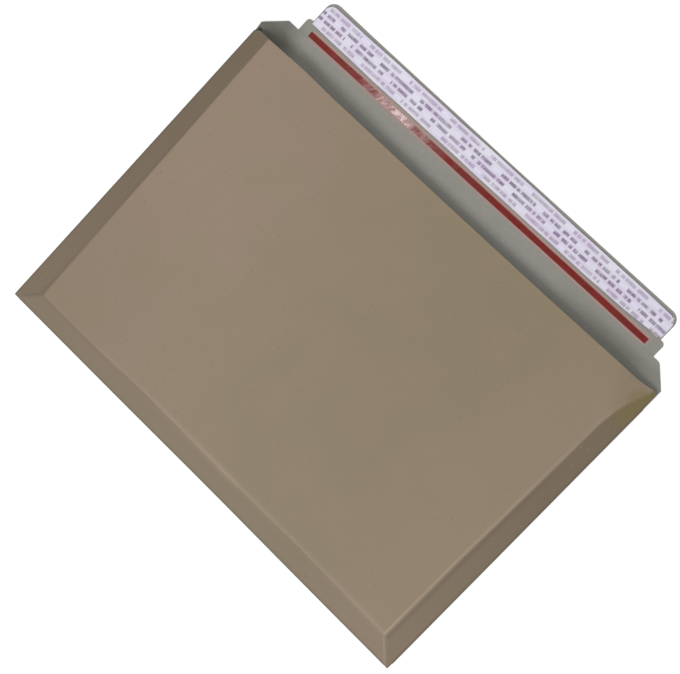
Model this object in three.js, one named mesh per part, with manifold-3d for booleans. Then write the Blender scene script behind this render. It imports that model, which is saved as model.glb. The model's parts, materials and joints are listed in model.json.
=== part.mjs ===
// Gusseted cardboard envelope, lying on its back panel with the closing flap open.
// Millimetres, +X along the mouth, +Y from the bottom fold towards the flap, +Z up.
// One sheet of solid board makes the pocket and the flap. A tear strip, a band of adhesive and
// its release liner lie on the inside of the flap.

import * as THREE from 'three';
import { ConvexGeometry } from 'three/addons/geometries/ConvexGeometry.js';
import { mergeVertices } from 'three/addons/utils/BufferGeometryUtils.js';
import Module from 'manifold-3d';

// Board
const boardThickness = 0.6;
const foldRadius = 1.6;

// Pocket, measured over its folds
const pocketLength = 334;
const pocketDepth = 235;
const gussetWidth = 15;

// Height of the front panel's outer face above the table. The board's spring holds the mouth open.
const frontRiseBottom = 4.6;
const frontRiseMouth = 8.8;
const frontLean = 0.4;

// Cut edges at the mouth
const mouthSetback = 5.5;
const bandEndSlant = 2;

// Glue flaps, folded in from the back panel under the side bands
const glueFlapWidth = 11;
const glueFlapSetback = 9;
const glueFlapTaper = 8;
const glueBite = 0.02;

// Shoulders and closing flap
const shoulderDepth = 12;
const shoulderBevel = 12.5;
const flapLength = 28;
const flapWidth = 296;
const flapShift = 1.5;
const flapStepHeight = 10;
const flapStepInset = 3.8;
const flapStepRadius = 2.4;
const flapTipRadius = 6.5;

// Tear strip
const tearStripLength = 281;
const tearStripWidth = 4;
const tearStripThickness = 0.1;
const tearStripStart = 1;

// Adhesive and its release liner
const adhesiveLength = 283;
const adhesiveWidth = 15;
const adhesiveThickness = 0.2;
const adhesiveTipMargin = 3.2;
const linerLength = 287;
const linerWidth = 18.3;
const linerThickness = 0.1;

// Facets of a full turn round a fold, and of a quarter turn at a rounded corner
const foldSteps = 16;
const cornerSteps = 8;

// Points nearer than this are one point
const weldDistance = 1e-4;

// Places that follow from the dimensions above
const sideFold = pocketLength / 2;
const mouthLine = pocketDepth / 2;
const bottomFold = -pocketDepth / 2;
const flapCrease = mouthLine + shoulderDepth;
const flapTip = flapCrease + flapLength;
const frontEdge = mouthLine - mouthSetback;
const highest = Math.max(frontRiseBottom, frontRiseMouth) + frontLean;
const reachPastMouth = shoulderDepth + flapLength;

const wasm = await Module();
wasm.setup();

// Materials

const brownBoard = new THREE.MeshStandardMaterial({ color: 0x95866f, roughness: 0.85, metalness: 0 });
const greyBoard = new THREE.MeshStandardMaterial({ color: 0x87857f, roughness: 0.88, metalness: 0 });
const redFilm = new THREE.MeshStandardMaterial({ color: 0x8c2522, roughness: 0.3, metalness: 0 });
const clearGlue = new THREE.MeshStandardMaterial({ color: 0xd9d3bd, roughness: 0.4, metalness: 0 });
const whiteLiner = new THREE.MeshStandardMaterial({ color: 0xe6e2ee, roughness: 0.35, metalness: 0 });

// Solids: a closed geometry to a manifold and back

function toSolid(geometry) {
  const bare = geometry.clone();
  bare.deleteAttribute('normal');
  bare.deleteAttribute('uv');
  const merged = mergeVertices(bare, weldDistance);
  return new wasm.Manifold(new wasm.Mesh({
    numProp: 3,
    vertProperties: new Float32Array(merged.attributes.position.array),
    triVerts: new Uint32Array(merged.index.array),
  }));
}

function toGeometry(solid) {
  const mesh = solid.getMesh();
  const geometry = new THREE.BufferGeometry();
  geometry.setAttribute('position', new THREE.BufferAttribute(new Float32Array(mesh.vertProperties), 3));
  geometry.setIndex(new THREE.BufferAttribute(new Uint32Array(mesh.triVerts), 1));
  geometry.computeVertexNormals();
  return geometry;
}

// A flat outline in X and Y, raised from one height to another
function plate(outline, low, high) {
  const geometry = new THREE.ExtrudeGeometry(outline, {
    depth: high - low,
    bevelEnabled: false,
    curveSegments: cornerSteps,
  });
  geometry.translate(0, 0, low);
  return geometry;
}

function outlineThrough(points) {
  return new THREE.Shape(points.map(([x, y]) => new THREE.Vector2(x, y)));
}

function rectangle(left, right, low, high) {
  return outlineThrough([[left, low], [right, low], [right, high], [left, high]]);
}

// The pocket's board follows a core: the thin body whose corners are the centres of the folds.
// The board's outside is the core grown by the fold radius, and its inside the core grown by less.

// Outer face of the front panel at a place on it
function frontRise(x, y) {
  const along = (y - bottomFold) / pocketDepth;
  return frontRiseBottom + (frontRiseMouth - frontRiseBottom) * along - frontLean * x / pocketLength;
}

// A gusset band keeps its width, so it leans further in where the front lies lower
function gussetInset(rise) {
  const climb = rise - 2 * foldRadius;
  const slope = gussetWidth - foldRadius;
  return Math.sqrt(slope * slope - climb * climb);
}

// Fold centres of the core. The mouth end runs on past the mouth, where it is cut off later.
function coreCorners() {
  const corners = [];
  for (const side of [-1, 1]) {
    const backX = side * (sideFold - foldRadius);
    const bottomInset = gussetInset(frontRise(side * sideFold, bottomFold));
    const mouthInset = gussetInset(frontRise(side * sideFold, mouthLine));
    const runOn = 2 * gussetWidth;
    const insetSlope = (mouthInset - bottomInset) / (pocketDepth - foldRadius - bottomInset);
    const farInset = mouthInset + insetSlope * runOn;
    const bottomX = backX - side * bottomInset;
    const bottomY = bottomFold + foldRadius + bottomInset;
    const farX = backX - side * farInset;
    const farY = mouthLine + runOn;
    corners.push(new THREE.Vector3(backX, bottomFold + foldRadius, foldRadius));
    corners.push(new THREE.Vector3(backX, farY, foldRadius));
    corners.push(new THREE.Vector3(bottomX, bottomY, frontRise(bottomX, bottomY) - foldRadius));
    corners.push(new THREE.Vector3(farX, farY, frontRise(farX, farY) - foldRadius));
  }
  return corners;
}

// The core grown by a radius: the hull of one faceted ball at each fold centre
function grownCore(radius) {
  const points = [];
  const rings = foldSteps / 2;
  for (const centre of coreCorners()) {
    for (let ring = 0; ring <= rings; ring += 1) {
      const rise = Math.PI * ring / rings - Math.PI / 2;
      const atPole = ring === 0 || ring === rings;
      const turns = atPole ? 1 : foldSteps;
      for (let turn = 0; turn < turns; turn += 1) {
        const around = 2 * Math.PI * turn / foldSteps;
        const flat = atPole ? 0 : radius * Math.cos(rise);
        points.push(new THREE.Vector3(
          centre.x + flat * Math.cos(around),
          centre.y + flat * Math.sin(around),
          centre.z + radius * Math.sin(rise),
        ));
      }
    }
  }
  return toSolid(new ConvexGeometry(points));
}

// What is cut away at the mouth: all above the back panel and beyond the front's cut edge.
// The side bands' ends slant back from the front's corners to the folds.
function mouthCutter() {
  const beyond = mouthLine + 3 * gussetWidth;
  const outside = sideFold + gussetWidth;
  const crease = sideFold - gussetWidth;
  const slope = bandEndSlant / gussetWidth;
  const outerEdge = frontEdge - slope * (outside - crease);
  const outline = outlineThrough([
    [-outside, outerEdge],
    [-crease, frontEdge],
    [crease, frontEdge],
    [outside, outerEdge],
    [outside, beyond],
    [-outside, beyond],
  ]);
  return toSolid(plate(outline, boardThickness, highest + 2 * gussetWidth));
}

// The back panel ends at the mouth line, where the shoulders go on
function backEndCutter() {
  const beyond = mouthLine + 3 * gussetWidth;
  const outside = sideFold + gussetWidth;
  return toSolid(plate(rectangle(-outside, outside, mouthLine, beyond), -foldRadius, boardThickness));
}

// Second ply inside a side band, folded in from the back panel, with tapered ends. It bites into
// the band by a hair, as the glue does, so that the two plies are one solid.
function glueFlap(side) {
  const face = foldRadius - boardThickness;
  const ply = grownCore(face + glueBite).subtract(grownCore(face - boardThickness));
  const outer = side * (sideFold + foldRadius);
  const inner = side * (sideFold - glueFlapWidth);
  const bottomEnd = bottomFold + gussetWidth;
  const mouthEnd = frontEdge - glueFlapSetback;
  const outline = outlineThrough([
    [outer, bottomEnd],
    [inner, bottomEnd + glueFlapTaper],
    [inner, mouthEnd - glueFlapTaper],
    [outer, mouthEnd],
  ]);
  return ply.intersect(toSolid(plate(outline, foldRadius, 2 * highest)));
}

// The back panel beyond the side bands' ends: flat to its cut edge, bevelled down to the flap's crease
function shoulders() {
  const crease = sideFold - shoulderBevel;
  const bandEnd = frontEdge - bandEndSlant;
  const outline = outlineThrough([
    [-sideFold, bandEnd],
    [sideFold, bandEnd],
    [sideFold, mouthLine],
    [crease, flapCrease],
    [-crease, flapCrease],
    [-sideFold, mouthLine],
  ]);
  return toSolid(plate(outline, 0, boardThickness));
}

function pocketBoard() {
  const shell = grownCore(foldRadius).subtract(grownCore(foldRadius - boardThickness));
  return toGeometry(shell
    .subtract(mouthCutter())
    .subtract(backEndCutter())
    .add(glueFlap(-1))
    .add(glueFlap(1))
    .add(shoulders()));
}

// The flap: a wide foot at its crease, a rounded step in, and rounded corners at the tip
function flapOutline() {
  const foot = flapWidth / 2;
  const waist = foot - flapStepInset;
  const step = flapCrease + flapStepHeight;
  const shape = new THREE.Shape();
  shape.moveTo(-foot, flapCrease);
  shape.lineTo(foot, flapCrease);
  shape.lineTo(foot, step - flapStepRadius);
  shape.absarc(foot - flapStepRadius, step - flapStepRadius, flapStepRadius, 0, Math.PI / 2, false);
  shape.lineTo(waist, step);
  shape.lineTo(waist, flapTip - flapTipRadius);
  shape.absarc(waist - flapTipRadius, flapTip - flapTipRadius, flapTipRadius, 0, Math.PI / 2, false);
  shape.absarc(flapTipRadius - waist, flapTip - flapTipRadius, flapTipRadius, Math.PI / 2, Math.PI, false);
  shape.lineTo(-waist, step);
  shape.absarc(flapStepRadius - foot, step - flapStepRadius, flapStepRadius, Math.PI / 2, Math.PI, false);
  return shape;
}

// A strip lying flat on the flap, centred on it, from one place along +Y and one height
function strip(length, width, thickness, start, low) {
  return plate(rectangle(-length / 2, length / 2, start, start + width), low, low + thickness);
}

function mesh(name, geometry, material) {
  const piece = new THREE.Mesh(geometry, material);
  piece.name = name;
  return piece;
}

const adhesiveStart = flapTip - adhesiveTipMargin - adhesiveWidth;
const linerStart = adhesiveStart + (adhesiveWidth - linerWidth) / 2;

const flap = new THREE.Group();
flap.position.x = flapShift;
flap.add(
  mesh('flap_board', plate(flapOutline(), 0, boardThickness), greyBoard),
  mesh('tear_strip', strip(tearStripLength, tearStripWidth, tearStripThickness,
    flapCrease + tearStripStart, boardThickness), redFilm),
  mesh('adhesive_strip', strip(adhesiveLength, adhesiveWidth, adhesiveThickness,
    adhesiveStart, boardThickness), clearGlue),
  mesh('release_liner', strip(linerLength, linerWidth, linerThickness,
    linerStart, boardThickness + adhesiveThickness), whiteLiner),
);

const envelope = new THREE.Group();
envelope.position.y = -reachPastMouth / 2;
envelope.add(mesh('pocket_board', pocketBoard(), brownBoard), flap);

export default envelope;
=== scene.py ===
# %% [markdown]
# A gusseted board envelope is one die-cut sheet, folded flat and glued at its two short sides. This
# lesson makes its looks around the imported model: the sheet with its plies and creases, the red tear
# strip, the adhesive and the release liner. Everything is in metres, X along the mouth, Y from the
# bottom fold to the flap and Z up.

# %% Load the frame
import json
import math

import bpy
import numpy as np
from mathutils import Matrix, Vector


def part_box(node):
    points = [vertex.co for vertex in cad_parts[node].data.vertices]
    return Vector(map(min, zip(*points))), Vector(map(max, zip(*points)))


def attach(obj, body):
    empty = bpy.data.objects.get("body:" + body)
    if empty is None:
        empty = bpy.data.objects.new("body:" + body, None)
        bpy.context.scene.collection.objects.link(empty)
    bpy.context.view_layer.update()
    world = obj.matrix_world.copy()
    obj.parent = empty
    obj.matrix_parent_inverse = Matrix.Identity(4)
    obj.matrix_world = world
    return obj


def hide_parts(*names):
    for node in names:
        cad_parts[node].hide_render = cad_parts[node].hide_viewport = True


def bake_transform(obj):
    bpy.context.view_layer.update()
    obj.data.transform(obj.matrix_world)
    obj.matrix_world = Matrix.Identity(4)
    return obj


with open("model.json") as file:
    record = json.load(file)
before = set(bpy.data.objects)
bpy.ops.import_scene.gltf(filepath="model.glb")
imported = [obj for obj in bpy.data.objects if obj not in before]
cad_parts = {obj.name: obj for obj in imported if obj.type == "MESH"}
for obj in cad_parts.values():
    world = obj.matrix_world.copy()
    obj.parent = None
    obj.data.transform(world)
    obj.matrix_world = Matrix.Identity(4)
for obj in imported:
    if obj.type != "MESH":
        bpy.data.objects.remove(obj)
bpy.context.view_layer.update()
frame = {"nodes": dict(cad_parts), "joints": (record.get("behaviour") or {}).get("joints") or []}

# %% [markdown]
# The outline, the board's thickness and the flap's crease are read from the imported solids. What
# they can't tell, such as the width of a gusset band, has the CAD source's value.

# %% Sizes
mm = 0.001
pocket_low, pocket_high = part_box("pocket_board")
flap_low, flap_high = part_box("flap_board")
strip_low, strip_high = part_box("tear_strip")
liner_low, liner_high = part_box("release_liner")
crease_at = Vector(frame["joints"][0]["pos_m"])

board = crease_at.z
side_fold = pocket_high.x
bottom_fold = pocket_low.y
flap_crease = crease_at.y
flap_tip = flap_high.y

shoulder_depth = 12 * mm
shoulder_bevel = 12.5 * mm
mouth_line = flap_crease - shoulder_depth
mouth_setback = 5.5 * mm
front_edge = mouth_line - mouth_setback
gusset = 15 * mm
fold_radius = 1.6 * mm
rise_bottom = 4.6 * mm
rise_mouth = 8.8 * mm
front_lean = 0.4 * mm

flap_middle = (flap_low.x + flap_high.x) / 2
flap_foot = (flap_high.x - flap_low.x) / 2
flap_step_height = 10 * mm
flap_step_inset = 3.8 * mm
flap_step_radius = 2.4 * mm
flap_tip_radius = 6.5 * mm

strip_middle = (strip_low.y + strip_high.y) / 2
strip_turn = 0.0036
strip_rise = 0.3 * mm


def profile(place, *pairs):
    """The level at a place, on lines through pairs of a place in millimetres and a level."""
    places, levels = np.array(pairs).T
    return np.interp(place, places * mm, levels)


def clamp(share):
    return np.clip(share, 0, 1)


print("board", board, "mouth line", round(mouth_line, 4), "flap", round(flap_foot * 2, 4), "m wide")

# %% [markdown]
# The envelope is photographed from almost straight above. The camera's place and turn were solved
# from the outline's corners, whose real distances are known.

# %% Camera
camera_place = Vector((68.2 * mm, 33.6 * mm, 593.8 * mm))
camera_aim = Vector((5.6 * mm, -11.5 * mm, 0.0))
camera_up = Vector((-0.6896, 0.7239, 0.0177))
camera_lens = 51.2

camera = bpy.data.objects.new("camera", bpy.data.cameras.new("camera"))
bpy.context.scene.collection.objects.link(camera)
back = (camera_place - camera_aim).normalized()
right = camera_up.cross(back).normalized()
up = back.cross(right)
camera_turn = Matrix((right, up, back)).transposed().to_4x4()
camera.matrix_world = Matrix.Translation(camera_place) @ camera_turn
camera.data.lens = camera_lens
camera.data.clip_start = 10 * mm
bpy.context.scene.camera = camera
print("camera", [round(v, 3) for v in camera.location])

# %% [markdown]
# Every finish is worked out with node arithmetic. A Wire is the output of a node: adding,
# multiplying or comparing wires adds the Math nodes that do it. Nodes makes any other node with one
# method, and a Finish is one material.

# %% Shader arithmetic
def operator(operation, swapped=False):
    """A method of Wire that adds a Math node. Swapped is for the reflected forms."""
    def apply(*values):
        return values[0].nodes.math(operation, *(values[::-1] if swapped else values))
    return apply


class Wire:
    def __init__(self, nodes, socket):
        self.nodes = nodes
        self.socket = socket

    __add__ = __radd__ = operator("ADD")
    __mul__ = __rmul__ = operator("MULTIPLY")
    __sub__, __rsub__ = operator("SUBTRACT"), operator("SUBTRACT", swapped=True)
    __truediv__, __rtruediv__ = operator("DIVIDE"), operator("DIVIDE", swapped=True)
    __lt__, __gt__ = operator("LESS_THAN"), operator("GREATER_THAN")
    floor, fraction, size = operator("FLOOR"), operator("FRACT"), operator("ABSOLUTE")

    def ramp(self, low, high):
        """A soft step from 0 to 1 between two values."""
        settings = {"interpolation_type": "SMOOTHSTEP"}
        sockets = {"Value": self, "From Min": low, "From Max": high}
        return self.nodes.wire("ShaderNodeMapRange", settings, sockets)


class Nodes:
    def __init__(self, tree):
        self.tree = tree

    def node(self, kind, settings, sockets):
        made = self.tree.nodes.new(kind)
        for key, value in settings.items():
            setattr(made, key, value)
        for key, value in sockets.items():
            if isinstance(value, Wire):
                self.link(value, made, key)
            else:
                made.inputs[key].default_value = value
        return made

    def link(self, wire, node, key):
        self.tree.links.new(wire.socket, node.inputs[key])

    def wire(self, kind, settings, sockets, output=0):
        """One output of a new node."""
        return Wire(self, self.node(kind, settings, sockets).outputs[output])

    def math(self, operation, *values):
        return self.wire("ShaderNodeMath", {"operation": operation}, dict(enumerate(values)))


class Finish(Nodes):
    def __init__(self, name, roughness, specular):
        self.material = bpy.data.materials.new(name)
        self.material.use_nodes = True
        super().__init__(self.material.node_tree)
        self.shader = self.tree.nodes["Principled BSDF"]
        self.shader.inputs["Roughness"].default_value = roughness
        self.shader.inputs["Specular IOR Level"].default_value = specular

    def attribute(self, name, output="Fac"):
        return self.wire("ShaderNodeAttribute", {"attribute_name": name}, {}, output)

    def object_place(self):
        return self.wire("ShaderNodeTexCoord", {}, {}, "Object")

    def vector(self, operation, first, second, output=0):
        sockets = {0: first, 1: second}
        return self.wire("ShaderNodeVectorMath", {"operation": operation}, sockets, output)

    def scaled(self, vector, factors):
        return self.vector("MULTIPLY", vector, factors)

    def shifted(self, vector, steps):
        return self.vector("ADD", vector, steps)

    def split(self, vector):
        made = self.node("ShaderNodeSeparateXYZ", {}, {0: vector})
        return [Wire(self, made.outputs[axis]) for axis in range(3)]

    def joined(self, x, y, z=0.0):
        return self.wire("ShaderNodeCombineXYZ", {}, {0: x, 1: y, 2: z})

    def noise(self, place, scale, detail, roughness):
        return self.wire("ShaderNodeTexNoise", {}, {
            "Vector": place, "Scale": scale, "Detail": detail, "Roughness": roughness,
        })

    def chance(self, place):
        return self.wire("ShaderNodeTexWhiteNoise", {"noise_dimensions": "3D"}, {"Vector": place})

    def cells(self, place, scale):
        made = self.node("ShaderNodeTexVoronoi", {}, {"Vector": place, "Scale": scale})
        return [Wire(self, made.outputs[name]) for name in ("Distance", "Color")]

    def colours(self, share, first, second):
        sockets = {0: share, 6: first, 7: second}
        return self.wire("ShaderNodeMix", {"data_type": "RGBA"}, sockets, 2)

    def start(self, share, first, second):
        """The ground colour, which goes from one tint to another."""
        self.base = self.colours(share, first, second)

    def paint(self, share, colour):
        """One more colour over the ones before, as strong as its share."""
        self.base = self.colours(share, self.base, colour)

    def feed(self, name, wire):
        self.link(wire, self.shader, name)

    def bump(self, height, strength, distance):
        sockets = {"Height": height, "Strength": strength, "Distance": distance}
        self.feed("Normal", self.wire("ShaderNodeBump", {}, sockets))

    def done(self):
        self.feed("Base Color", self.base)
        return self.material


def tint(red, green, blue):
    """A colour as a paint chart gives it, 0 to 255, turned to the renderer's linear values."""
    def linear(level):
        share = level / 255
        return share / 12.92 if share <= 0.04045 else ((share + 0.055) / 1.055) ** 2.4
    return (linear(red), linear(green), linear(blue), 1.0)


print("a mid brown is", [round(v, 3) for v in tint(150, 134, 116)])

# %% [markdown]
# Solid board is pressed from recycled fibre. Its brown side has soft blotches, fine fibres along
# the machine direction and a few specks. The creases carry light wear and a painted highlight. The
# bands, creases and edges get painted shade, and the front a painted sheen and shade: paler towards
# its ends, darker in the middle and to the lower left. Blotches, fibres and specks are noise and
# not an image, so they stay sharp from close up.

# %% Board outside
def board_fibres(finish, place):
    """Cloudy blotches, long fibres and short tooth, each about 0.5 on average."""
    cloud = finish.noise(place, 28.0, 3.0, 0.55)
    fibre = finish.noise(finish.scaled(place, (0.22, 1.0, 1.0)), 1500.0, 3.0, 0.6)
    tooth = finish.noise(place, 2600.0, 2.0, 0.6)
    return cloud, fibre, tooth


def specks(finish, place, scale, share, seed):
    """Small flecks in the middle of the cells whose random colour is above a limit."""
    distance, colour = finish.cells(finish.shifted(place, (seed, seed, seed)), scale)
    red = finish.split(colour)[0]
    return (red > 1.0 - share) * (1.0 - distance.ramp(0.12, 0.34))


patch_and_shade_brown = tint(134, 119, 98)
pressed_at = (162 * mm, 84 * mm, 4 * mm)


def brown_board():
    finish = Finish("board_outside", roughness=0.55, specular=0.4)
    place = finish.attribute("place", "Vector")
    cloud, fibre, tooth = board_fibres(finish, place)
    patches = finish.noise(finish.shifted(place, (0.3, 0.1, 0.0)), 9.0, 2.0, 0.5)
    x, y = finish.split(place)[:2]
    # Painted sheen and shade: the ground is paler and warmer towards the ends, darker and more olive
    # in the middle.
    sheen_towards_ends = (x - 45 * mm).size().ramp(10 * mm, 170 * mm)
    ground = cloud.ramp(0.3, 0.7) * 0.35 + sheen_towards_ends * 0.75
    finish.start(ground, tint(141, 128, 102), tint(152, 133, 114))
    finish.paint((0.5 - fibre).size().ramp(0.05, 0.35) * 0.45, tint(126, 112, 93))
    finish.paint(patches.ramp(0.35, 0.75) * 0.2, patch_and_shade_brown)
    # Painted shade: darker towards the lower left.
    shade_low_left = (-1.0 * x).ramp(20 * mm, 150 * mm) * (-1.0 * y).ramp(-20 * mm, 110 * mm)
    finish.paint(shade_low_left * 0.3, patch_and_shade_brown)
    # Painted shade on the gusset bands, which lean away from the light.
    band = finish.attribute("band")
    finish.paint(band * 0.75, tint(98, 86, 68))
    finish.paint(specks(finish, place, 420.0, 0.05, 3.1) * 0.30, tint(96, 82, 66))
    finish.paint(specks(finish, place, 520.0, 0.04, 7.7) * 0.25, tint(186, 172, 150))
    # Painted shade: olive on the pressed corner's sloping facet and on the band beside it.
    from_corner = finish.vector("DISTANCE", place, pressed_at, 1)
    pressed = (1.0 - from_corner.ramp(8 * mm, 28 * mm)) * band * 0.7
    pressed += (1.0 - from_corner.ramp(4 * mm, 11 * mm)) * (1.0 - band) * 0.45
    finish.paint(pressed, tint(122, 110, 60))
    # Light wear on the creases, with a painted highlight where they catch the light.
    finish.paint(finish.attribute("wear_and_highlight") * (0.25 + 0.6 * cloud), tint(182, 166, 142))
    # Painted shade along the creases, the folded edges and the flap's crease.
    finish.paint(finish.attribute("dark") * 0.7, tint(88, 79, 68))
    finish.feed("Roughness", 0.50 + 0.16 * cloud + 0.08 * tooth)
    finish.bump(fibre * 0.6 + tooth * 0.4, 0.25, 0.06 * mm)
    return finish.done()


outside = brown_board()
print("made", outside.name)

# %% [markdown]
# The inside of the sheet is bare grey fibre, rougher and more speckled than the brown side. The cut
# edge shows the same grey in thin layers.

# %% Board inside and cut edge
def past_tape(x, y):
    """Signed distance from the middle of the tape, which was laid a little askew."""
    return y - strip_middle - strip_turn * x - strip_rise


def grey_board():
    finish = Finish("board_inside", roughness=0.75, specular=0.3)
    place = finish.attribute("place", "Vector")
    cloud, fibre, tooth = board_fibres(finish, place)
    finish.start(cloud.ramp(0.3, 0.7), tint(148, 148, 139), tint(153, 149, 143))
    finish.paint((0.5 - fibre).size().ramp(0.05, 0.35) * 0.45, tint(122, 121, 115))
    finish.paint(tooth.ramp(0.55, 0.8) * 0.4, tint(184, 182, 174))
    finish.paint(specks(finish, place, 620.0, 0.12, 1.3) * 0.35, tint(96, 94, 89))
    finish.paint(specks(finish, place, 560.0, 0.12, 5.9) * 0.28, tint(204, 201, 192))
    x, y = finish.split(place)[:2]
    by_tape = past_tape(x, y).size()
    past_end = (x - (strip_low.x + strip_high.x) / 2).size() - (strip_high.x - strip_low.x) / 2
    smear = (1.0 - by_tape.ramp(2.4 * mm, 4.8 * mm)) * (1.0 - past_end.ramp(-3 * mm, 0.5 * mm))
    finish.paint(smear * 0.7, tint(184, 154, 146))
    # Painted shade along the creases, the folded edges and the flap's crease.
    finish.paint(finish.attribute("dark") * 0.5, tint(98, 96, 91))
    # Painted shadow beyond the mouth under the front's raised edge, and a deeper painted shadow in
    # the left corner's gap.
    shade = finish.attribute("shade")
    finish.paint(shade * (0.45 + 0.4 * cloud), tint(76, 76, 64))
    finish.paint(shade - 1.0, tint(44, 42, 36))
    finish.feed("Roughness", 0.68 + 0.18 * tooth)
    finish.bump(fibre * 0.5 + tooth * 0.5, 0.35, 0.08 * mm)
    return finish.done()


def cut_board():
    finish = Finish("board_cut_edge", roughness=0.85, specular=0.2)
    place = finish.attribute("place", "Vector")
    layers = finish.noise(finish.scaled(place, (0.1, 0.1, 1.0)), 7000.0, 2.0, 0.6)
    fibre = finish.noise(place, 2200.0, 3.0, 0.6)
    finish.start(layers.ramp(0.3, 0.7), tint(108, 103, 94), tint(150, 144, 132))
    finish.paint(fibre.ramp(0.45, 0.8) * 0.4, tint(84, 80, 72))
    finish.bump(layers * 0.6 + fibre * 0.4, 0.4, 0.08 * mm)
    return finish.done()


inside = grey_board()
cut_edge = cut_board()
print("made", inside.name, "and", cut_edge.name)

# %% [markdown]
# The board is first drawn as the surface in the middle of its thickness. The front rises to the
# mouth, and planes fall away from it to the three closed edges. The height is the lowest of these
# planes, with the corners between them rounded off. A box with bevels could not give this, because
# each crease has its own angle from end to end.

# %% Height of the front panel and its gusset bands
crease_round = 1.5 * mm
bottom_round = 2.6 * mm
crease_run_out = [(58, 0), (71, 1.5), (77, 3.0), (84.5, 6.0), (94.2, 9.2)]
left_drift = [(-125, 1.0), (-70, 0.6), (60, 0.0)]
right_drift = [(-110, 0.3), (-60, 0.3), (-13, -0.4), (34, -0.9)]
bottom_drift = [
    (-152, 1.1), (-110, 1.4), (-57, -0.3), (12, 0.5), (77, -0.3), (127, 0.4), (152, 1.2),
]
fold_margin = 0.02 * mm
fold_bow = 0.33 * mm
crease_blend = 0.9 * mm


def line(distance, width):
    """From 0 to 1 on a soft line of some width."""
    return np.exp(-(distance / width) ** 2)


def rise(x, y):
    """Outer face of the front panel above the table."""
    along = (y - bottom_fold) / (mouth_line - bottom_fold)
    return rise_bottom + (rise_mouth - rise_bottom) * along - front_lean * x / (2 * side_fold)


def side_band_width(side, y):
    """The creases aren't quite parallel to the edges."""
    return gusset + np.where(side < 0, profile(y, *left_drift), profile(y, *right_drift)) * mm


def bottom_band_width(x):
    """The bottom crease wavers by a millimetre along its length."""
    return gusset - profile(x, *bottom_drift) * mm


def lean(climb, width):
    """Sine and cosine of the angle of a band that climbs so high from its fold."""
    sine = (climb - 2 * fold_radius) / (width - fold_radius)
    return sine, np.sqrt(1 - sine * sine)


def lean_of_side(side, y):
    return lean(rise(side * side_fold, y), side_band_width(side, y))


def lean_of_bottom(x):
    width = bottom_band_width(x)
    return lean(rise(x, bottom_fold + width), width)


def side_crease(side, y):
    """X of the crease between the front and a side band."""
    cosine = lean_of_side(side, y)[1]
    return side * (side_fold - fold_radius - (side_band_width(side, y) - fold_radius) * cosine)


def crease_line(side, y):
    """The same crease as it shows. On the right it runs out to the pressed mouth corner."""
    return side_crease(side, y) + np.where(side > 0, profile(y, *crease_run_out) * mm, 0.0)


def bottom_edge(x):
    """The bottom fold bows in a little near its middle."""
    return bottom_fold + fold_margin + fold_bow * line(x - 12 * mm, 60 * mm)


def rounded_lower(first, second, width):
    """The lower of two heights, rounded where they differ by less than width."""
    share = clamp(0.5 + 0.5 * (second - first) / width)
    return second + (first - second) * share - width * share * (1 - share)


def side_band_height(x, y):
    side = np.where(x < 0, -1.0, 1.0)
    sine, cosine = lean_of_side(side, y)
    start = side_fold - fold_radius + fold_radius * sine
    return fold_radius * (1 + cosine) + (start - abs(x)) * sine / cosine, sine / cosine


def bottom_band_height(x, y):
    sine, cosine = lean_of_bottom(x)
    start = bottom_edge(x) + fold_radius - fold_radius * sine
    return fold_radius * (1 + cosine) + (y - start) * sine / cosine, sine / cosine


print("front rises from", rise_bottom, "to", rise_mouth)

# %% [markdown]
# The right mouth corner has been pressed down: the front bends there along a soft line and slopes
# to the corner. One more plane gives that, because the lowest plane always wins. Where a crease was
# rolled, the board keeps a shallow groove with a small bead on the band's side.

# %% Pressed corner, grooves and slow waves
pressed_points = np.array([(153.8, 68.0, 8.25), (138.0, 92.4, 8.55), (162.7, 94.5, 4.2)]) * mm
groove_depth = 0.13 * mm
groove_width = 0.75 * mm
sag_depth = 0.9 * mm


def pressed_corner(x, y):
    """Height of the plane through the three pressed points."""
    first, second, third = pressed_points
    facing = np.cross(second - first, third - first)
    return first[2] - (facing[0] * (x - first[0]) + facing[1] * (y - first[1])) / facing[2]


def groove(distance):
    """Height change at a signed distance past a crease: a groove, then a bead on the band."""
    bead = line(distance - 2.2 * groove_width, groove_width)
    return groove_depth * (0.35 * bead - line(distance, groove_width))


def slow_waves(x, y):
    """The board is never quite flat: a few long waves, a tenth of a millimetre high."""
    return mm * (
        0.10 * np.sin(17 * x + 9 * y + 0.4)
        + 0.08 * np.sin(31 * y - 11 * x + 1.9)
        + 0.05 * np.sin(47 * x + 23 * y + 2.2)
    )


def sag(x, y):
    """Away from its creases the front hangs down a little at the mouth."""
    towards_mouth = clamp((y + 20 * mm) / (110 * mm))
    return sag_depth * line(x - 15 * mm, 75 * mm) * towards_mouth ** 2


def past_creases(x, y):
    """How far a place is beyond the side crease, and beyond the bottom one."""
    side = np.where(x < 0, -1.0, 1.0)
    return abs(x) - abs(crease_line(side, y)), bottom_edge(x) + bottom_band_width(x) - y


def front_middle(x, y):
    """Height of the middle of the board over the front and its three bands."""
    side_height, side_slope = side_band_height(x, y)
    bottom_height, bottom_slope = bottom_band_height(x, y)
    from_edges = np.minimum(side_fold - abs(x), y - bottom_fold) - gusset
    inland = clamp(from_edges / (25 * mm))
    front = rise(x, y) + slow_waves(x, y) * inland - sag(x, y)
    front = rounded_lower(front, pressed_corner(x, y), crease_blend)
    top = rounded_lower(front, side_height, crease_round * side_slope)
    top = rounded_lower(top, bottom_height, bottom_round * bottom_slope)
    past_side, past_bottom = past_creases(x, y)
    past = np.maximum(past_side, past_bottom)
    mitre = np.where(past > groove_width, abs(past_side - past_bottom) * 0.7, 1.0)
    deep = np.where(past_bottom > past_side, 0.5, 1.0)
    return top + deep * groove(past) + 0.6 * groove(mitre) - board / 2


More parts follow.
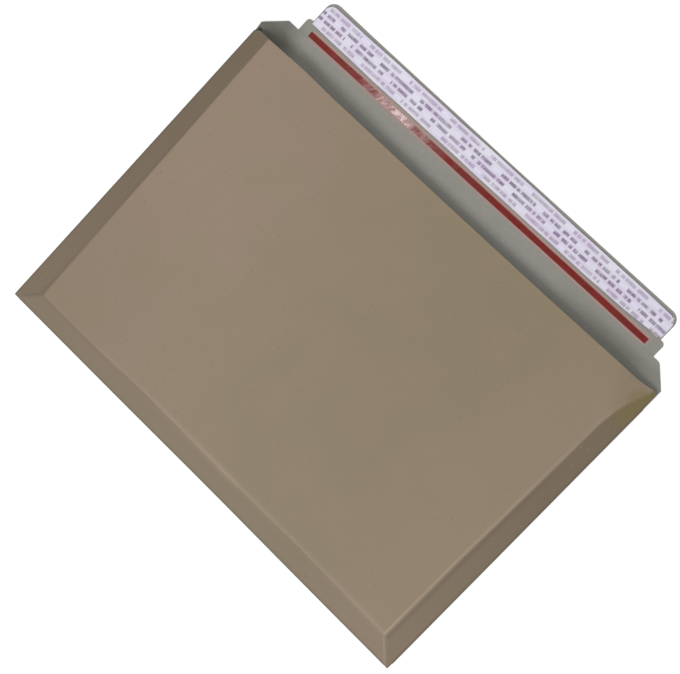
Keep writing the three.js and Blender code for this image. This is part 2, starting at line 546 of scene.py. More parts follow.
print("mouth corner", round(float(front_middle(160 * mm, 90 * mm)), 5))

# %% [markdown]
# Along X the sheet has seven key lines: its two edges, the two side creases, the two ends of the
# flap's foot and the middle. The columns between them are fine near a crease or an edge and wide on
# open board, so that the mesh spends its faces where the shape turns.

# %% Spacing of columns and rows
def spread(length, first, last, widest):
    """Shares from 0 to 1 of steps that grow from the first size and shrink to the last."""
    growth = 1.18
    head, tail = [], []
    low, high = first, last
    while sum(head) + sum(tail) < length:
        if low <= high:
            head.append(low)
            low = min(low * growth, widest)
        else:
            tail.append(high)
            high = min(high * growth, widest)
    sizes = np.array(head + tail[::-1])
    return np.concatenate([[0.0], np.cumsum(sizes) / sizes.sum()])


print("steps on 100 mm:", len(spread(100 * mm, 0.5 * mm, 0.5 * mm, 5 * mm)) - 1)

# %% Key lines and columns
foot_left = flap_low.x
foot_right = flap_high.x
fine = 0.45 * mm
wide = 5 * mm
band_shares = spread(gusset, fine, fine, 1.1 * mm)
column_shares = [
    band_shares,
    1 - spread(6 * mm, 0.9 * mm, fine, 1.3 * mm)[::-1],
    spread(-foot_left, 1.1 * mm, wide, wide),
    spread(foot_right, wide, 0.8 * mm, wide),
    spread(3 * mm, 0.7 * mm, fine, 0.8 * mm),
    (1 - band_shares)[::-1],
]
columns = [(part, share) for part, shares in enumerate(column_shares) for share in shares[:-1]]
columns.append((len(column_shares) - 1, 1.0))
foot_from = columns.index((2, 0.0))
foot_to = columns.index((4, 0.0))
print(len(columns), "columns, the flap's from", foot_from, "to", foot_to)


def across(keys):
    """X of every column of a row whose key lines are at these places."""
    return np.array([keys[part] + share * (keys[part + 1] - keys[part]) for part, share in columns])


# %% [markdown]
# The front's cut edge isn't straight on a used pack: it is drawn back at the left crease and pushed
# forward at the pressed corner. The rows near the mouth follow it.

# %% Rows of the front and the bottom fold
band_edge = side_fold - 0.6 * mm
mouth_edge = [
    (-166.4, 90.8), (-164.3, 91.4), (-162.7, 92.5), (-152.7, 91.9), (-122, 92.6), (-100, 92.0),
    (-50, 91.8), (0, 91.8), (80, 92.0), (122, 92.5), (151, 92.9), (157, 93.7), (163, 94.7),
    (166.4, 94.0),
]
mouth_reach = 30 * mm
bow_reach = 60 * mm


def key_lines(left, y, right):
    """The seven key lines of a row that has the side creases on it."""
    return [left, side_crease(-1, y), foot_left, 0.0, foot_right, side_crease(1, y), right]


def front_row(y):
    """One row of the front, from the left band's free edge to the right one's."""
    x = across(key_lines(-band_edge, y, band_edge))
    shift = profile(x, *mouth_edge) * mm - front_edge
    pull = max(0.0, 1 - (front_edge - y) / mouth_reach) ** 2
    bow = (bottom_edge(x) - bottom_fold) * max(0.0, 1 - (y - bottom_fold) / bow_reach)
    y = y + shift * pull + bow
    return np.stack([x, y, front_middle(x, y)], axis=1)


def fold_rows(top, steps):
    """Rows round the bottom fold, from the front to the back panel."""
    x, y, z = top.T
    sine = lean_of_bottom(x)[0]
    begin = math.pi / 2 + np.arcsin(sine)
    radius = (z - board / 2) / (1 + np.sin(begin))
    middle = y - radius * np.cos(begin)
    rows = []
    for step in range(1, steps + 1):
        angle = begin + (1.5 * math.pi - begin) * step / steps
        height = board / 2 + radius * (1 + np.sin(angle))
        rows.append(np.stack([x, middle + radius * np.cos(angle), height], axis=1))
    return rows


bottom_crease = bottom_fold + gusset - 0.4 * mm
front_steps = spread(front_edge - bottom_crease, fine, fine, wide)
rows = [front_row(front_edge - share * (front_edge - bottom_crease)) for share in front_steps]
fold_top = bottom_fold + fold_radius - 0.16 * mm
rows += [front_row(bottom_crease - share * (bottom_crease - fold_top)) for share in band_shares[1:]]
rows += fold_rows(rows[-1], 12)
print(len(rows), "rows over the front and round the fold")

# %% [markdown]
# The back panel is flat. Each glue flap turns in through its own fold and lies against the
# underside of a side band, so that fold's radius depends on the band's angle. Past the mouth line
# the shoulders are cut at a slant, and the flap goes on from the middle of their edge.

# %% Rows of the back panel and the shoulders
glue_gap = 0.02 * mm
glue_from = bottom_fold + 4 * mm
glue_to = front_edge - 9 * mm
same_place = 0.01 * mm
back_edge = side_fold - 0.3 * mm
edge_ease = 6 * mm
shoulder_reach = side_fold - 0.03 * mm
shoulder_slope = shoulder_bevel / shoulder_depth
shoulder_blend = 1.5 * mm
corner_rise = 1.5 * mm
left_corner = 1.5 * mm
right_corner = 4 * mm


def glue_fold_radius(side, y):
    """Radius of a glue flap's fold that brings it to the underside of the side band."""
    sine, cosine = lean_of_side(side, y)
    return fold_radius - board / 2 - (board + glue_gap) / (1 + cosine - sine)


def carries_glue_flap(y):
    return glue_from - same_place <= y <= glue_to + same_place


def corner_lift(x, y):
    """The left shoulder's corner is bent up a little."""
    out = clamp((-x - 147 * mm) / (20 * mm))
    past = clamp((y - 88 * mm) / (10 * mm))
    return corner_rise * out ** 1.5 * past * past * (3 - 2 * past)


def flat_row(keys, y):
    """One row of the sheet where it lies on the table, with these key lines."""
    x = across(keys)
    return np.stack([x, np.full_like(x, y), board / 2 + corner_lift(x, y)], axis=1)


def back_row(y):
    """One row of the back panel, as far as the mouth line."""
    ease = max(0.0, 1 - (mouth_line - y) / edge_ease)
    ends = [back_edge + ease * (shoulder_reach - back_edge)] * 2
    if carries_glue_flap(y):
        ends = [side_fold - board / 2 - glue_fold_radius(side, y) for side in (-1, 1)]
    return flat_row(key_lines(-ends[0], y, ends[1]), y)


def shoulder_end(y, corner):
    """Half width of the shoulders, whose corner at the flap's crease is rounded."""
    slant = math.hypot(1, shoulder_slope)
    middle_y = flap_crease - corner
    middle_x = shoulder_reach - shoulder_slope * (middle_y - mouth_line) - corner * slant
    if y <= middle_y + corner * shoulder_slope / slant:
        bevel = shoulder_reach - shoulder_slope * (y - mouth_line)
        return float(rounded_lower(bevel, shoulder_reach, shoulder_blend))
    return middle_x + math.sqrt(max(0.0, corner ** 2 - (y - middle_y) ** 2))


def shoulder_row(y):
    """One row of the shoulders, whose slanted ends run in to the flap's crease."""
    inner = []
    ends = -shoulder_end(y, left_corner), shoulder_end(y, right_corner)
    for side, foot, end in zip((-1, 1), (foot_left, foot_right), ends):
        share = (side_crease(side, mouth_line) - foot) / (side * side_fold - foot)
        inner.append(foot + share * (end - foot))
    return flat_row([ends[0], inner[0], foot_left, 0.0, foot_right, inner[1], ends[1]], y)


def steps_between(low, high, first, last, widest):
    return [low + share * (high - low) for share in spread(high - low, first, last, widest)]


back_from = bottom_fold + 2.9 * mm
first_part = steps_between(back_from, glue_from, 0.5 * mm, 0.4 * mm, 0.6 * mm)
glue_part = steps_between(glue_from, glue_to, 0.8 * mm, 0.8 * mm, wide)
last_part = steps_between(glue_to, mouth_line, 0.5 * mm, 0.8 * mm, 2 * mm)
back_places = first_part + glue_part[1:] + last_part[1:]
glue_rows = [(len(rows) + i, y) for i, y in enumerate(back_places) if carries_glue_flap(y)]
rows += [back_row(y) for y in back_places]
shoulder_places = steps_between(mouth_line, flap_crease, 0.8 * mm, 0.15 * mm, 1.2 * mm)
rows += [shoulder_row(y) for y in shoulder_places[1:]]
crease_row = len(rows) - 1
print(len(rows), "rows as far as the flap's crease")

# %% [markdown]
# The flap has a wide foot, a small rounded step and rounded corners at its tip. Its rows end on
# that outline and bend to even steps in the middle, so that no face becomes a sliver.

# %% Rows of the flap
waist = flap_foot - flap_step_inset
step_fillet = 0.8 * mm
crease_steps = 9
crease_zone = 1 * mm
wide_bend = 40 * mm
narrow_bend = 14 * mm


def arc_points(middle_x, middle_y, radius, start, end, steps):
    """Points on an arc in degrees, without its first one."""
    turns = [math.radians(start + (end - start) * step / steps) for step in range(1, steps + 1)]
    return [(middle_x + radius * math.cos(t), middle_y + radius * math.sin(t)) for t in turns]


def even_rows(corner, start, stop):
    """Rows whose ends lie on a corner, and whose middle goes on in even steps."""
    steps = np.linspace(start, stop, len(corner) + 1)[1:]
    return [(half, y, float(middle)) for (half, y), middle in zip(corner, steps)]


step_y = flap_crease + flap_step_height
start_y = flap_crease + crease_zone
sides_y = step_y + step_fillet
step_arc_y = step_y - flap_step_radius
tip_arc_y = flap_tip - flap_tip_radius

straight_y = [flap_crease + crease_zone * step / crease_steps for step in range(1, crease_steps)]
straight_y += steps_between(start_y, step_arc_y, 0.3 * mm, 0.8 * mm, 1.2 * mm)
turn = arc_points(flap_foot - flap_step_radius, step_arc_y, flap_step_radius, 0, 90, 6)
turn += arc_points(waist + step_fillet, sides_y, step_fillet, 270, 180, 4)
waist_y = steps_between(sides_y, tip_arc_y, 0.8 * mm, 0.9 * mm, 1.3 * mm)[1:]
tip_arc = arc_points(waist - flap_tip_radius, tip_arc_y, flap_tip_radius, 0, 90, 9)

flap_rows = [(flap_foot, y, y) for y in straight_y]
flap_rows += even_rows(turn, straight_y[-1], turn[-1][1])
flap_rows += [(waist, y, y) for y in waist_y]
flap_rows += even_rows(tip_arc, waist_y[-1], flap_tip)
foot_x = rows[crease_row][foot_from:foot_to + 1, 0] - flap_middle


def tip_draw(x):
    """How far the flap's long edge is cut back from its full length."""
    return profile(x, (-135, 0.1), (-106, 0.5), (0, 1.0), (125, 0.7)) * mm


def flap_row(half, edge_y, middle_y):
    """One row of the flap, with its ends on the outline."""
    from_edge = flap_foot - abs(foot_x)
    near = clamp(1 - from_edge / wide_bend) ** 2
    very_near = clamp(1 - from_edge / narrow_bend) ** 2
    x = flap_middle + foot_x + np.sign(foot_x) * (half - flap_foot) * near
    y = middle_y + (edge_y - middle_y) * very_near
    y = y - tip_draw(x) * clamp((y - step_y) / (flap_tip - step_y))
    return np.stack([x, y, np.full_like(x, board / 2)], axis=1)


print(len(flap_rows), "rows on the flap")

# %% [markdown]
# The flap has only the columns of its foot, so the sheet's edge steps in there. The two glue flaps
# are small grids that share the back panel's edge points, which makes the pack one sheet.

# %% The sheet's middle surface
points = []
faces = []


def add_points(places):
    first = len(points)
    points.extend(np.asarray(places).tolist())
    return list(range(first, len(points)))


def join_rows(grid, flip=False):
    """Four-sided faces between neighbouring rows of point numbers."""
    for upper, lower in zip(grid, grid[1:]):
        for i in range(len(upper) - 1):
            face = (upper[i], lower[i], lower[i + 1], upper[i + 1])
            faces.append(face[::-1] if flip else face)


sheet_ids = [add_points(row) for row in rows]
join_rows(sheet_ids)
flap_ids = [sheet_ids[crease_row][foot_from:foot_to + 1]]
flap_ids += [add_points(flap_row(*row)) for row in flap_rows]
join_rows(flap_ids)
print(len(points), "points and", len(faces), "faces before the glue flaps")

# %% The two glue flaps
glue_width = 11 * mm
glue_taper = 8 * mm
glue_lip = 0.95 * mm
turn_share = np.linspace(0, 1, 10)[1:]


def glue_flap_path(side, y, distance):
    """A place on the glue flap, by its distance along the board."""
    radius = glue_fold_radius(side, y)
    sine, cosine = lean_of_side(side, y)
    turned = math.pi - math.asin(sine)
    angle = min(distance / radius, turned)
    out = radius * math.sin(angle)
    up = radius * (1 - math.cos(angle))
    flat = max(0.0, distance - turned * radius)
    start = side_fold - board / 2 - radius
    return (side * (start + out - flat * cosine), y, board / 2 + up + flat * sine)


def glue_flap_rows(side):
    """Rows of one glue flap, from the back panel's edge to its cut edge."""
    grid = []
    for row, y in glue_rows:
        fold = glue_fold_radius(side, y) * (math.pi - math.asin(lean_of_side(side, y)[0]))
        full = fold + glue_width
        near_end = min(y - glue_from, glue_to - y)
        reach = glue_lip + (full - glue_lip) * min(1.0, near_end / glue_taper)
        around = min(fold, 0.9 * reach)
        distances = [*(turn_share * around), *np.linspace(around, reach, 5)[1:]]
        places = [glue_flap_path(side, y, distance) for distance in distances]
        edge = sheet_ids[row][0 if side < 0 else -1]
        grid.append([edge] + add_points(places))
    return grid


for side in (-1, 1):
    join_rows(glue_flap_rows(side), flip=side < 0)
middle_points = np.array(points)
print(len(points), "points in all")

# %% [markdown]
# Thickening moves every point half a board's thickness out, once to each side. A narrow rim joins
# the brown skin and the grey one. It has two tiny bevels, because a cutting rule crushes the edge.

# %% Thicken the sheet
edge_crush = 0.08 * mm


def unit(vectors):
    return vectors / np.maximum(np.linalg.norm(vectors, axis=1, keepdims=True), 1e-12)


quads = np.array(faces)
first, second, third, fourth = (middle_points[quads[:, corner]] for corner in range(4))
facing = unit(np.cross(third - first, fourth - second))
normals = np.zeros_like(middle_points)
for corner in range(4):
    np.add.at(normals, quads[:, corner], facing)
normals = unit(normals)

edge_of = {}
for face in faces:
    for start, end in zip(face, face[1:] + face[:1]):
        if edge_of.pop((end, start), None) is None:
            edge_of[(start, end)] = True
rim = np.array(list(edge_of))
outward = np.zeros_like(middle_points)
along = unit(middle_points[rim[:, 1]] - middle_points[rim[:, 0]])
for end in range(2):
    np.add.at(outward, rim[:, end], np.cross(along, normals[rim[:, end]]))
outward = unit(outward)
print(len(rim), "edges of the sheet are cut edges")

# %% Points and faces of the solid sheet
on_rim = np.unique(rim)
crush = np.zeros_like(middle_points)
crush[on_rim] = outward[on_rim] * edge_crush
outer = middle_points + normals * board / 2 - crush
inner = middle_points - normals * board / 2 - crush
rim_lift = normals[on_rim] * (board / 2 - edge_crush)
rim_high = middle_points[on_rim] + rim_lift
rim_low = middle_points[on_rim] - rim_lift
count = len(points)
rim_id = np.full(count, -1)
rim_id[on_rim] = np.arange(len(on_rim))

high_id = 2 * count + rim_id
low_id = 2 * count + len(on_rim) + rim_id
begin, end = rim[:, 0], rim[:, 1]
rim_faces = np.concatenate([
    np.stack([begin, high_id[begin], high_id[end], end], axis=1),
    np.stack([high_id[begin], low_id[begin], low_id[end], high_id[end]], axis=1),
    np.stack([low_id[begin], count + begin, count + end, low_id[end]], axis=1),
])
solid_points = np.concatenate([outer, inner, rim_high, rim_low])
solid_points[:, 2] = np.maximum(solid_points[:, 2], 0.0)
solid_faces = np.concatenate([quads, count + quads[:, ::-1], rim_faces])
skin = np.repeat([0, 1, 2], [len(quads), len(quads), len(rim_faces)])
print("solid sheet:", len(solid_points), "points,", len(solid_faces), "faces")

# %% [markdown]
# The finishes need each point's place at rest, also when the flap is folded over. Four more values
# say where the board has light wear with a painted highlight, where creases and edges get painted
# shade, how much painted shade its band gets and where the grey side gets a painted shadow.

# %% Marks for the finishes
def place_on_front(places):
    """X, Y, how far past the side crease and the bottom one, and 1 on the front and its bands."""
    x, y, z = places.T
    return x, y, *past_creases(x, y), (z > 2 * board).astype(float)


def wear_and_highlight_mark(places):
    """Light wear with a painted highlight: broad on the bottom crease, fine inside the right one and
    at its mitre.
    """
    x, y, past_side, past_bottom, front = place_on_front(places)
    waxing = profile(x, (-110, 0.0), (-57, 0.4), (12, 1.0), (77, 0.5), (127, 0.6))
    bottom = 0.5 * line(past_bottom + 0.5 * mm, 2.0 * mm) * waxing * (past_side < 0)
    fading = profile(y, (-125, 1.0), (-40, 0.6), (60, 0.35), (90, 0.0))
    right = line(past_side + 1.3 * mm, 0.8 * mm) * fading * (x > 0) * (past_bottom < 0)
    mitre = 0.7 * line(past_bottom - past_side - 1.0 * mm, 0.9 * mm) * (x > 0) * (past_side > 0)
    return np.maximum.reduce([bottom, right, mitre]) * front


def crease_edge_shade_mark(places):
    """Painted shade in dark lines: the side creases, left mitre, three folded edges and flap crease.
    """
    x, y, past_side, past_bottom, front = place_on_front(places)
    fading = profile(y, (-40, 0.6), (0, 0.4), (40, 0.1))
    right = fading * line(past_side - 1.6 * mm, 1.3 * mm) * (x > 0) * (past_bottom < 0)
    near_middle = profile(y, (-122, 0.7), (-80, 0.3), (0, 0.45), (60, 0.0))
    left = near_middle * line(past_side - 1.2 * mm, 0.9 * mm) * (x < 0) * (past_bottom < 0)
    inner_half = clamp((13 * mm - past_bottom) / (6 * mm))
    mitre = line(past_bottom - past_side + 0.4 * mm, 1.1 * mm) * inner_half
    mitre = mitre * (x < 0) * (past_side > 0)
    creases = 0.79 * np.maximum.reduce([right, left, mitre]) * front
    from_edge = np.minimum(side_fold - abs(x), y - bottom_edge(x))
    ends = 1.25 * line(from_edge, 1.3 * mm) * (y < front_edge)
    flap_line = 0.32 * line(y - flap_crease, 0.5 * mm)
    return np.minimum(np.maximum.reduce([creases, ends, flap_line]), 1)


def band_shade_mark(places):
    """Painted shade on the bands, how much darker they are: the left one most, the bottom one least.
    """
    x, y, past_side, past_bottom, front = place_on_front(places)
    left = profile(y, (-120, 0.62), (-40, 0.78), (20, 0.88), (80, 0.95))
    right = profile(y, (-120, 0.52), (-60, 0.66), (0, 0.8))
    on_side = clamp(past_side / (0.9 * mm) + 0.5) * np.where(x < 0, left, right)
    bottom = profile(x, (-60, 0.52), (20, 0.40), (90, 0.38), (150, 0.33))
    on_bottom = clamp(past_bottom / (0.9 * mm) + 0.5) * bottom
    bottom_wins = clamp(0.5 + (past_bottom - past_side) / (0.8 * mm))
    return (on_side * (1 - bottom_wins) + on_bottom * bottom_wins) * front


def shade_mark(places):
    """Painted shadow on the grey board beyond the mouth, deepest at both ends and most at the left.
    """
    x, y = places.T[:2]
    corner = 0.75 * clamp(1.9 - np.hypot(x + 163 * mm, y - 99 * mm) / (13.5 * mm))
    wedge = profile(x, (-163, 0.1), (-155, 0.45), (-146, 0.45), (-132, 0))
    wedge = wedge * line(y - 95 * mm, 5 * mm)
    gap = 1.8 * line(np.hypot(x + 164.4 * mm, y - 93.4 * mm), 1.0 * mm)
    left = 0.5 * line(y - 99.5 * mm, 3.5 * mm) * profile(x, (-145, 0.4), (-128, 1), (-60, 0))
    right = profile(x, (75, 0), (115, 1), (142, 1), (160, 0.6))
    right = 0.55 * right * line(y - 101.5 * mm, 5 * mm)
    return np.clip(np.minimum(corner + wedge + left + right, 1) + gap, 0, 2)


def store(mesh, name, kind, values):
    mesh.attributes.new(name, kind, "POINT")
    key = "vector" if kind == "FLOAT_VECTOR" else "value"
    mesh.attributes[name].data.foreach_set(key, np.asarray(values, dtype=np.float32).ravel())


def add_piece(name, places, face_list, finishes, smooth=True):
    """A mesh object from points and faces, with its finishes."""
    mesh = bpy.data.meshes.new(name)
    mesh.from_pydata(np.asarray(places).tolist(), [], np.asarray(face_list).tolist())
    for finish in finishes:
        mesh.materials.append(finish)
    mesh.polygons.foreach_set("use_smooth", [smooth] * len(mesh.polygons))
    piece = bpy.data.objects.new(name, mesh)
    bpy.context.scene.collection.objects.link(piece)
    return piece


sheet = add_piece("folded_board", solid_points, solid_faces, [outside, inside, cut_edge])
sheet.data.polygons.foreach_set("material_index", skin)
store(sheet.data, "place", "FLOAT_VECTOR", solid_points)
marks = {"wear_and_highlight": wear_and_highlight_mark, "dark": crease_edge_shade_mark, "band": band_shade_mark, "shade": shade_mark}
for name, mark in marks.items():
    store(sheet.data, name, "FLOAT", mark(solid_points))
print("points with a dark line:", int((crease_edge_shade_mark(solid_points) > 0.5).sum()))

# %% [markdown]
# The skins are smooth across the creases, which are round on the real board too. The rim keeps
# sharp edges, so those are marked where two finishes meet.

# %% Sharp edges at the rim
mesh = sheet.data
skins_at = {}
for face in mesh.polygons:
    for key in face.edge_keys:
        skins_at.setdefault(key, set()).add(face.material_index)
for edge in mesh.edges:
    edge.use_edge_sharp = len(skins_at[tuple(sorted(edge.vertices))]) > 1
mesh.update()
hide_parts("pocket_board", "flap_board")
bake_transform(sheet)
print("sharp edges:", sum(edge.use_edge_sharp for edge in mesh.edges))

# %% [markdown]
# The tear strip and the liner lie on the inside of the flap. A plain box would reflect like a
# mirror, so each is a closed slab on a grid of points with its own small waves.

# %% A thin film with waves
film_step = 1.2 * mm
film_tuck = 0.03 * mm
film_rows = 13
film_bend = 30 * mm


def film(name, low, high, wave, finish, edge_shift, edge_wander, tip_corner=0.0):
    """A closed slab between two corners of a box. wave says how far its top stands up, and
    edge_shift how far a point moves along Y."""
    middle_x, middle_y = (low.x + high.x) / 2, (low.y + high.y) / 2
    across_x = np.linspace(low.x, high.x, int((high.x - low.x) / film_step) + 1)
    across_y = np.linspace(low.y, high.y - tip_corner, film_rows)
    if tip_corner:
        turns = np.linspace(0, math.pi / 2, 9)[1:]
        across_y = np.concatenate([across_y, high.y - tip_corner + tip_corner * np.sin(turns)])
    x, y = np.meshgrid(across_x, across_y)
    if tip_corner:
        up = clamp((y - high.y + tip_corner) / tip_corner)
        pull = tip_corner * (1 - np.sqrt(1 - up * up))
        from_end = (high.x - low.x) / 2 - abs(x - middle_x)
        x = x - np.sign(x - middle_x) * pull * clamp(1 - from_end / film_bend) ** 2
    wander = edge_wander * (np.sin(67 * x + 0.6) + 0.6 * np.sin(151 * x + 2.1)) / 1.6
    y = y + wander * (y - middle_y) / (high.y - middle_y)
    y = y + edge_shift(x, (y - low.y) / (high.y - low.y))
    lift = wave(x, y)
    tops = np.stack([x, y, high.z + lift], axis=2)
    floors = np.stack([x, y, low.z + lift - film_tuck], axis=2)

    ids = np.arange(x.size).reshape(x.shape)
    corners = [ids[:-1, :-1], ids[:-1, 1:], ids[1:, 1:], ids[1:, :-1]]
    top_faces = np.stack(corners, axis=2).reshape(-1, 4)
    loop = np.concatenate([ids[0, :-1], ids[:-1, -1], ids[-1, :0:-1], ids[:0:-1, 0]])
    after = np.roll(loop, -1)
    side_faces = np.stack([loop, loop + x.size, after + x.size, after], axis=1)
    face_list = np.concatenate([top_faces, top_faces[:, ::-1] + x.size, side_faces])
    places = np.concatenate([tops.reshape(-1, 3), floors.reshape(-1, 3)])
    piece = add_piece(name, places, face_list, [finish])

    share = np.repeat((across_y - low.y) / (high.y - low.y), len(across_x))
    store(piece.data, "share", "FLOAT", np.tile(share, 2))
    at_rim = np.zeros(2 * x.size, dtype=bool)
    at_rim[loop] = at_rim[loop + x.size] = True
    for edge in piece.data.edges:
        start, end = edge.vertices
        same_level = (start < x.size) == (end < x.size)
        edge.use_edge_sharp = bool(same_level and at_rim[start] and at_rim[end])
    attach(piece, "flap")
    return piece


print("film step", film_step)

# %% [markdown]
# The tear strip is a glossy red tape that isn't quite flat, so its highlight breaks into short
# pieces. Noise tilts its shading and makes the gloss patchy. To model every crinkle would take far
# more points for the same look.

# %% Red tear strip
def red_film():
    finish = Finish("red_tear_film", roughness=0.2, specular=0.22)
    finish.shader.inputs["Coat Roughness"].default_value = 0.1
    place = finish.object_place()
    cloud = finish.noise(place, 60.0, 2.0, 0.5)
    streak = finish.noise(finish.scaled(place, (0.15, 1.0, 1.0)), 900.0, 2.0, 0.5)
    x, y = finish.split(place)[:2]
    crinkle = finish.noise(finish.joined((x + y) * 0.4, (y - x) * 0.9), 260.0, 1.0, 0.5)
    by_edge = past_tape(x, y).size()
    finish.start(cloud.ramp(0.3, 0.7), tint(124, 23, 15), tint(115, 28, 21))
    finish.paint(streak.ramp(0.45, 0.8) * 0.3, tint(146, 44, 34))
    finish.paint(by_edge.ramp(1.5 * mm, 1.95 * mm) * 0.55, tint(170, 104, 92))
    finish.feed("Roughness", 0.15 + 0.05 * crinkle + 0.03 * streak)
    finish.feed("Coat Weight", 0.14 * crinkle.ramp(0.38, 0.6))
    finish.bump(crinkle * 0.85 + streak * 0.15, 0.8, 0.11 * mm)
    return finish.done()


strip_short = 1.5 * mm


def strip_wave(x, y):
    return mm * (0.04 + 0.02 * np.sin(190 * x + 0.8) + 0.015 * np.sin(431 * x + 210 * y))


def strip_skew(x, _):
    """The tape's right end is nearer to the flap's tip."""
    return strip_turn * x + strip_rise


tear_strip = film(
    "tear_tape", strip_low, strip_high - Vector((strip_short, 0, 0)), strip_wave, red_film(),
    edge_shift=strip_skew, edge_wander=0.12 * mm,
)
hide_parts("tear_strip")
print("tear strip", round(strip_high.x - strip_low.x, 4), "m long")

# %% [markdown]
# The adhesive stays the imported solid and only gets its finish: clear, tacky glue with small
# bubbles. Almost all of it is under the liner.

# %% Adhesive
def tacky_glue():
    finish = Finish("clear_tacky_glue", roughness=0.35, specular=0.5)
    place = finish.object_place()
    bubbles = specks(finish, place, 900.0, 0.35, 2.2)
    smear = finish.noise(finish.scaled(place, (0.2, 1.0, 1.0)), 260.0, 3.0, 0.55)
    finish.start(smear.ramp(0.3, 0.7), tint(206, 199, 176), tint(220, 214, 196))
    finish.paint(bubbles * 0.5, tint(236, 232, 220))
    finish.feed("Roughness", 0.28 + 0.25 * smear)
    finish.bump(bubbles * 0.5 + smear * 0.5, 0.5, 0.12 * mm)
    return finish.done()


glue_node = frame["nodes"]["adhesive_strip"]
glue_node.data.materials.clear()
glue_node.data.materials.append(tacky_glue())
print("adhesive node has", [material.name for material in glue_node.data.materials])

# %% [markdown]
# The release liner is siliconised white paper with four rows of small marks in mauve grey. They
# stand for print of the usual kind and are only dashes with worn ink. Noise along each row says
# where its dashes break, so nothing is drawn by hand.

# %% Release liner
row_pitch = 4.02 * mm
row_start = 0.75 * mm
phrase_length = 34 * mm
phrase_share = 0.78


def printed_rows(finish, place):
    """Share of ink from 0 to 1 over the liner, and where a phrase has ended."""
    x, y = finish.split(place)[:2]
    level = (y - (liner_low.y + row_start)) / row_pitch
    row = level.floor()
    in_row = level.fraction()
    slid = x / phrase_length + row * 0.37
    phrase = slid.floor()
    in_phrase = slid.fraction()
    length = phrase_share + 0.08 * finish.chance(finish.joined(phrase, row, 1.0))
    started = in_phrase.ramp(0.004, 0.016) * (1.0 - in_phrase.ramp(length, length + 0.014))
    runs = finish.noise(finish.joined(x, row * 0.5), 300.0, 1.0, 0.5)
    uneven = finish.noise(finish.scaled(place, (0.45, 1.0, 1.0)), 620.0, 2.0, 0.6)
    body = in_row.ramp(0.04, 0.22) * (1.0 - in_row.ramp(0.55, 0.78))
    weight = 0.6 + 0.4 * ((row > 0.5) * (row < 2.5))
    inside_rows = (level > 0.0) * (level < 4.0)
    ink = body * started * runs.ramp(0.40, 0.47) * (0.6 + 0.4 * uneven.ramp(0.32, 0.62)) * weight
    return ink * inside_rows, (1.0 - started) * body


def release_paper():
    finish = Finish("printed_release_liner", roughness=0.35, specular=0.3)
    place = finish.object_place()
    cloud = finish.noise(place, 70.0, 3.0, 0.5)
    wear = finish.noise(place, 900.0, 3.0, 0.6)
    crinkle = finish.noise(finish.scaled(place, (0.6, 1.0, 1.0)), 150.0, 3.0, 0.55)
    share = finish.attribute("share")
    x = finish.split(place)[0]
    # Painted shadow: a dark line along the lower edge at the right, and along the upper edge, where
    # the liner stands off the board.
    low_edge_shadow = (1.0 - share.ramp(0.0, 0.04)) * x.ramp(50 * mm, 110 * mm)
    edge = low_edge_shadow * 0.8 + share.ramp(0.975, 1.0) * 0.5
    ink, gap = printed_rows(finish, place)
    worn_ink = ink * (0.65 + 0.6 * wear)
    finish.start(cloud.ramp(0.35, 0.65), tint(228, 219, 240), tint(236, 231, 244))
    # Painted highlight: the paper between phrases is paler and bluer.
    finish.paint(gap * 0.6, tint(236, 238, 252))
    ink_colour = finish.colours(cloud.ramp(0.4, 0.6), tint(142, 120, 150), tint(132, 128, 146))
    finish.paint(worn_ink, ink_colour)
    finish.paint(edge, tint(112, 106, 104))
    finish.feed("Roughness", 0.32 + 0.15 * wear)
    finish.bump(crinkle, 0.4, 0.25 * mm)
    return finish.done()


def liner_wave(x, y):
    """Low buckles, with the long edges higher than the middle."""
    share = (y - liner_low.y) / (liner_high.y - liner_low.y)
    rim_lift = (2 * share - 1) ** 2 * (0.22 + 0.06 * np.sin(83 * x + 1.2))
    return mm * (0.09 + rim_lift + 0.03 * np.sin(260 * x + 170 * y))


def liner_edges(x, share):
    """The lower long edge is drawn in at the right end, and the upper one all along."""
    lower = profile(x, (-143, 0), (-100, -0.5), (95, -0.3), (120, 0.5), (135, 1.4), (145, 2.2))
    upper = profile(x, (-140, -1.0), (0, -0.95), (125, -1.3))
    return mm * (lower * (1 - share) ** 2 + upper * share)


liner = film(
    "printed_liner", liner_low, liner_high, liner_wave, release_paper(),
    edge_shift=liner_edges, edge_wander=0.2 * mm, tip_corner=6 * mm,
)
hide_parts("release_liner")
print("liner", round(liner_high.x - liner_low.x, 4), "m long")

# %% [markdown]
# The floor is pale and keeps the envelope's soft shadow. A little light of its own, which only the
# camera and mirror-like surfaces see, lifts it to white, and the world does the same. It is a
# fiftieth of a millimetre above the board's underside, so that no two faces share a place.

# %% Floor and world
floor_size = 6.0
floor_level = 0.02 * mm
floor_glow = 0.44
world_light = 0.45
studio_rays = ("Camera", "Glossy", "Transmission")


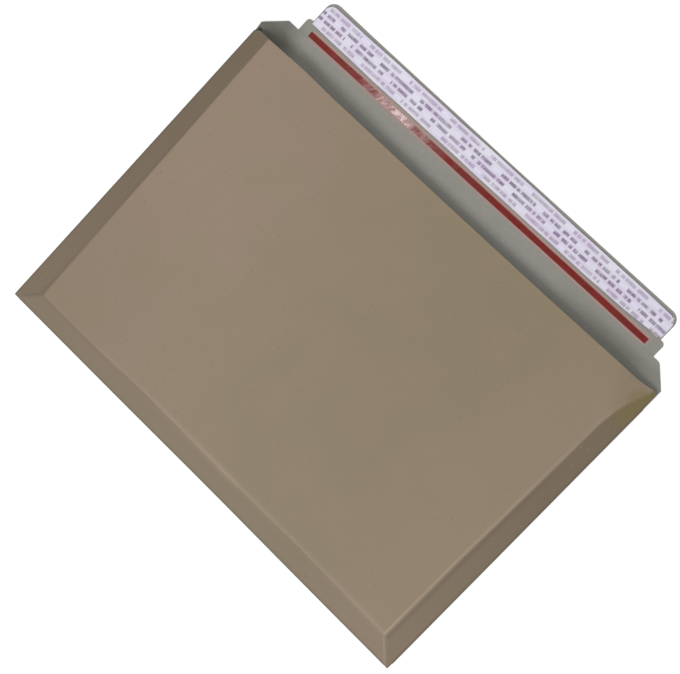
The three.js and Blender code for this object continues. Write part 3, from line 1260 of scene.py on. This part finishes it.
def seen_directly(nodes):
    """The share of rays that see the white studio: camera, glossy and transmitted rays."""
    path = nodes.node("ShaderNodeLightPath", {}, {})
    total, *others = (Wire(nodes, path.outputs["Is %s Ray" % name]) for name in studio_rays)
    for other in others:
        settings = {"operation": "ADD", "use_clamp": True}
        total = nodes.wire("ShaderNodeMath", settings, {0: total, 1: other})
    return total


half = floor_size / 2
pale = Finish("studio_floor", roughness=0.9, specular=0.0)
pale.shader.inputs["Base Color"].default_value = (0.78, 0.78, 0.78, 1)
glow = pale.wire("ShaderNodeEmission", {}, {"Strength": seen_directly(pale) * floor_glow})
both = {0: Wire(pale, pale.shader.outputs[0]), 1: glow}
surface = pale.wire("ShaderNodeAddShader", {}, both)
pale.link(surface, pale.tree.nodes["Material Output"], "Surface")
floor = add_piece(
    "studio_floor",
    [(x, y, floor_level) for x, y in ((-half, -half), (half, -half), (half, half), (-half, half))],
    [(0, 1, 2, 3)], [pale.material], smooth=False,
)

world = bpy.data.worlds.new("studio")
bpy.context.scene.world = world
world.use_nodes = True
sky = Nodes(world.node_tree)
background = sky.tree.nodes["Background"]
background.inputs["Color"].default_value = (1, 1, 1, 1)
sky.link(seen_directly(sky) * (1 - world_light) + world_light, background, "Strength")
print("floor", floor_size, "m wide")

# %% [markdown]
# The large lamp hangs high above the pack and a little towards the bottom fold. The small one
# stands where the camera sees it mirrored in the tear strip, and gives the tape its shine.

# %% Lamps
def soft_lamp(name, place, aim, side, watts):
    data = bpy.data.lights.new(name, "AREA")
    data.shape = "RECTANGLE"
    data.size = data.size_y = side
    data.energy = watts
    lamp = bpy.data.objects.new(name, data)
    lamp.location = place
    lamp.rotation_euler = (Vector(aim) - Vector(place)).to_track_quat("-Z", "Y").to_euler()
    bpy.context.scene.collection.objects.link(lamp)
    return lamp


key = soft_lamp("high_soft_lamp", (0.08, -1.55, 1.71), aim=(0, 0, 0), side=1.0, watts=26.4)
shine = soft_lamp(
    "shine_lamp", (-0.195, 0.188, 0.594), aim=(-0.063, 0.1125, 0), side=0.035, watts=0.34,
)
print("lamps", key.name, shine.name)

# %% [markdown]
# Last come the picture's settings.

# %% Finish
bpy.context.scene.view_settings.view_transform = "Standard"
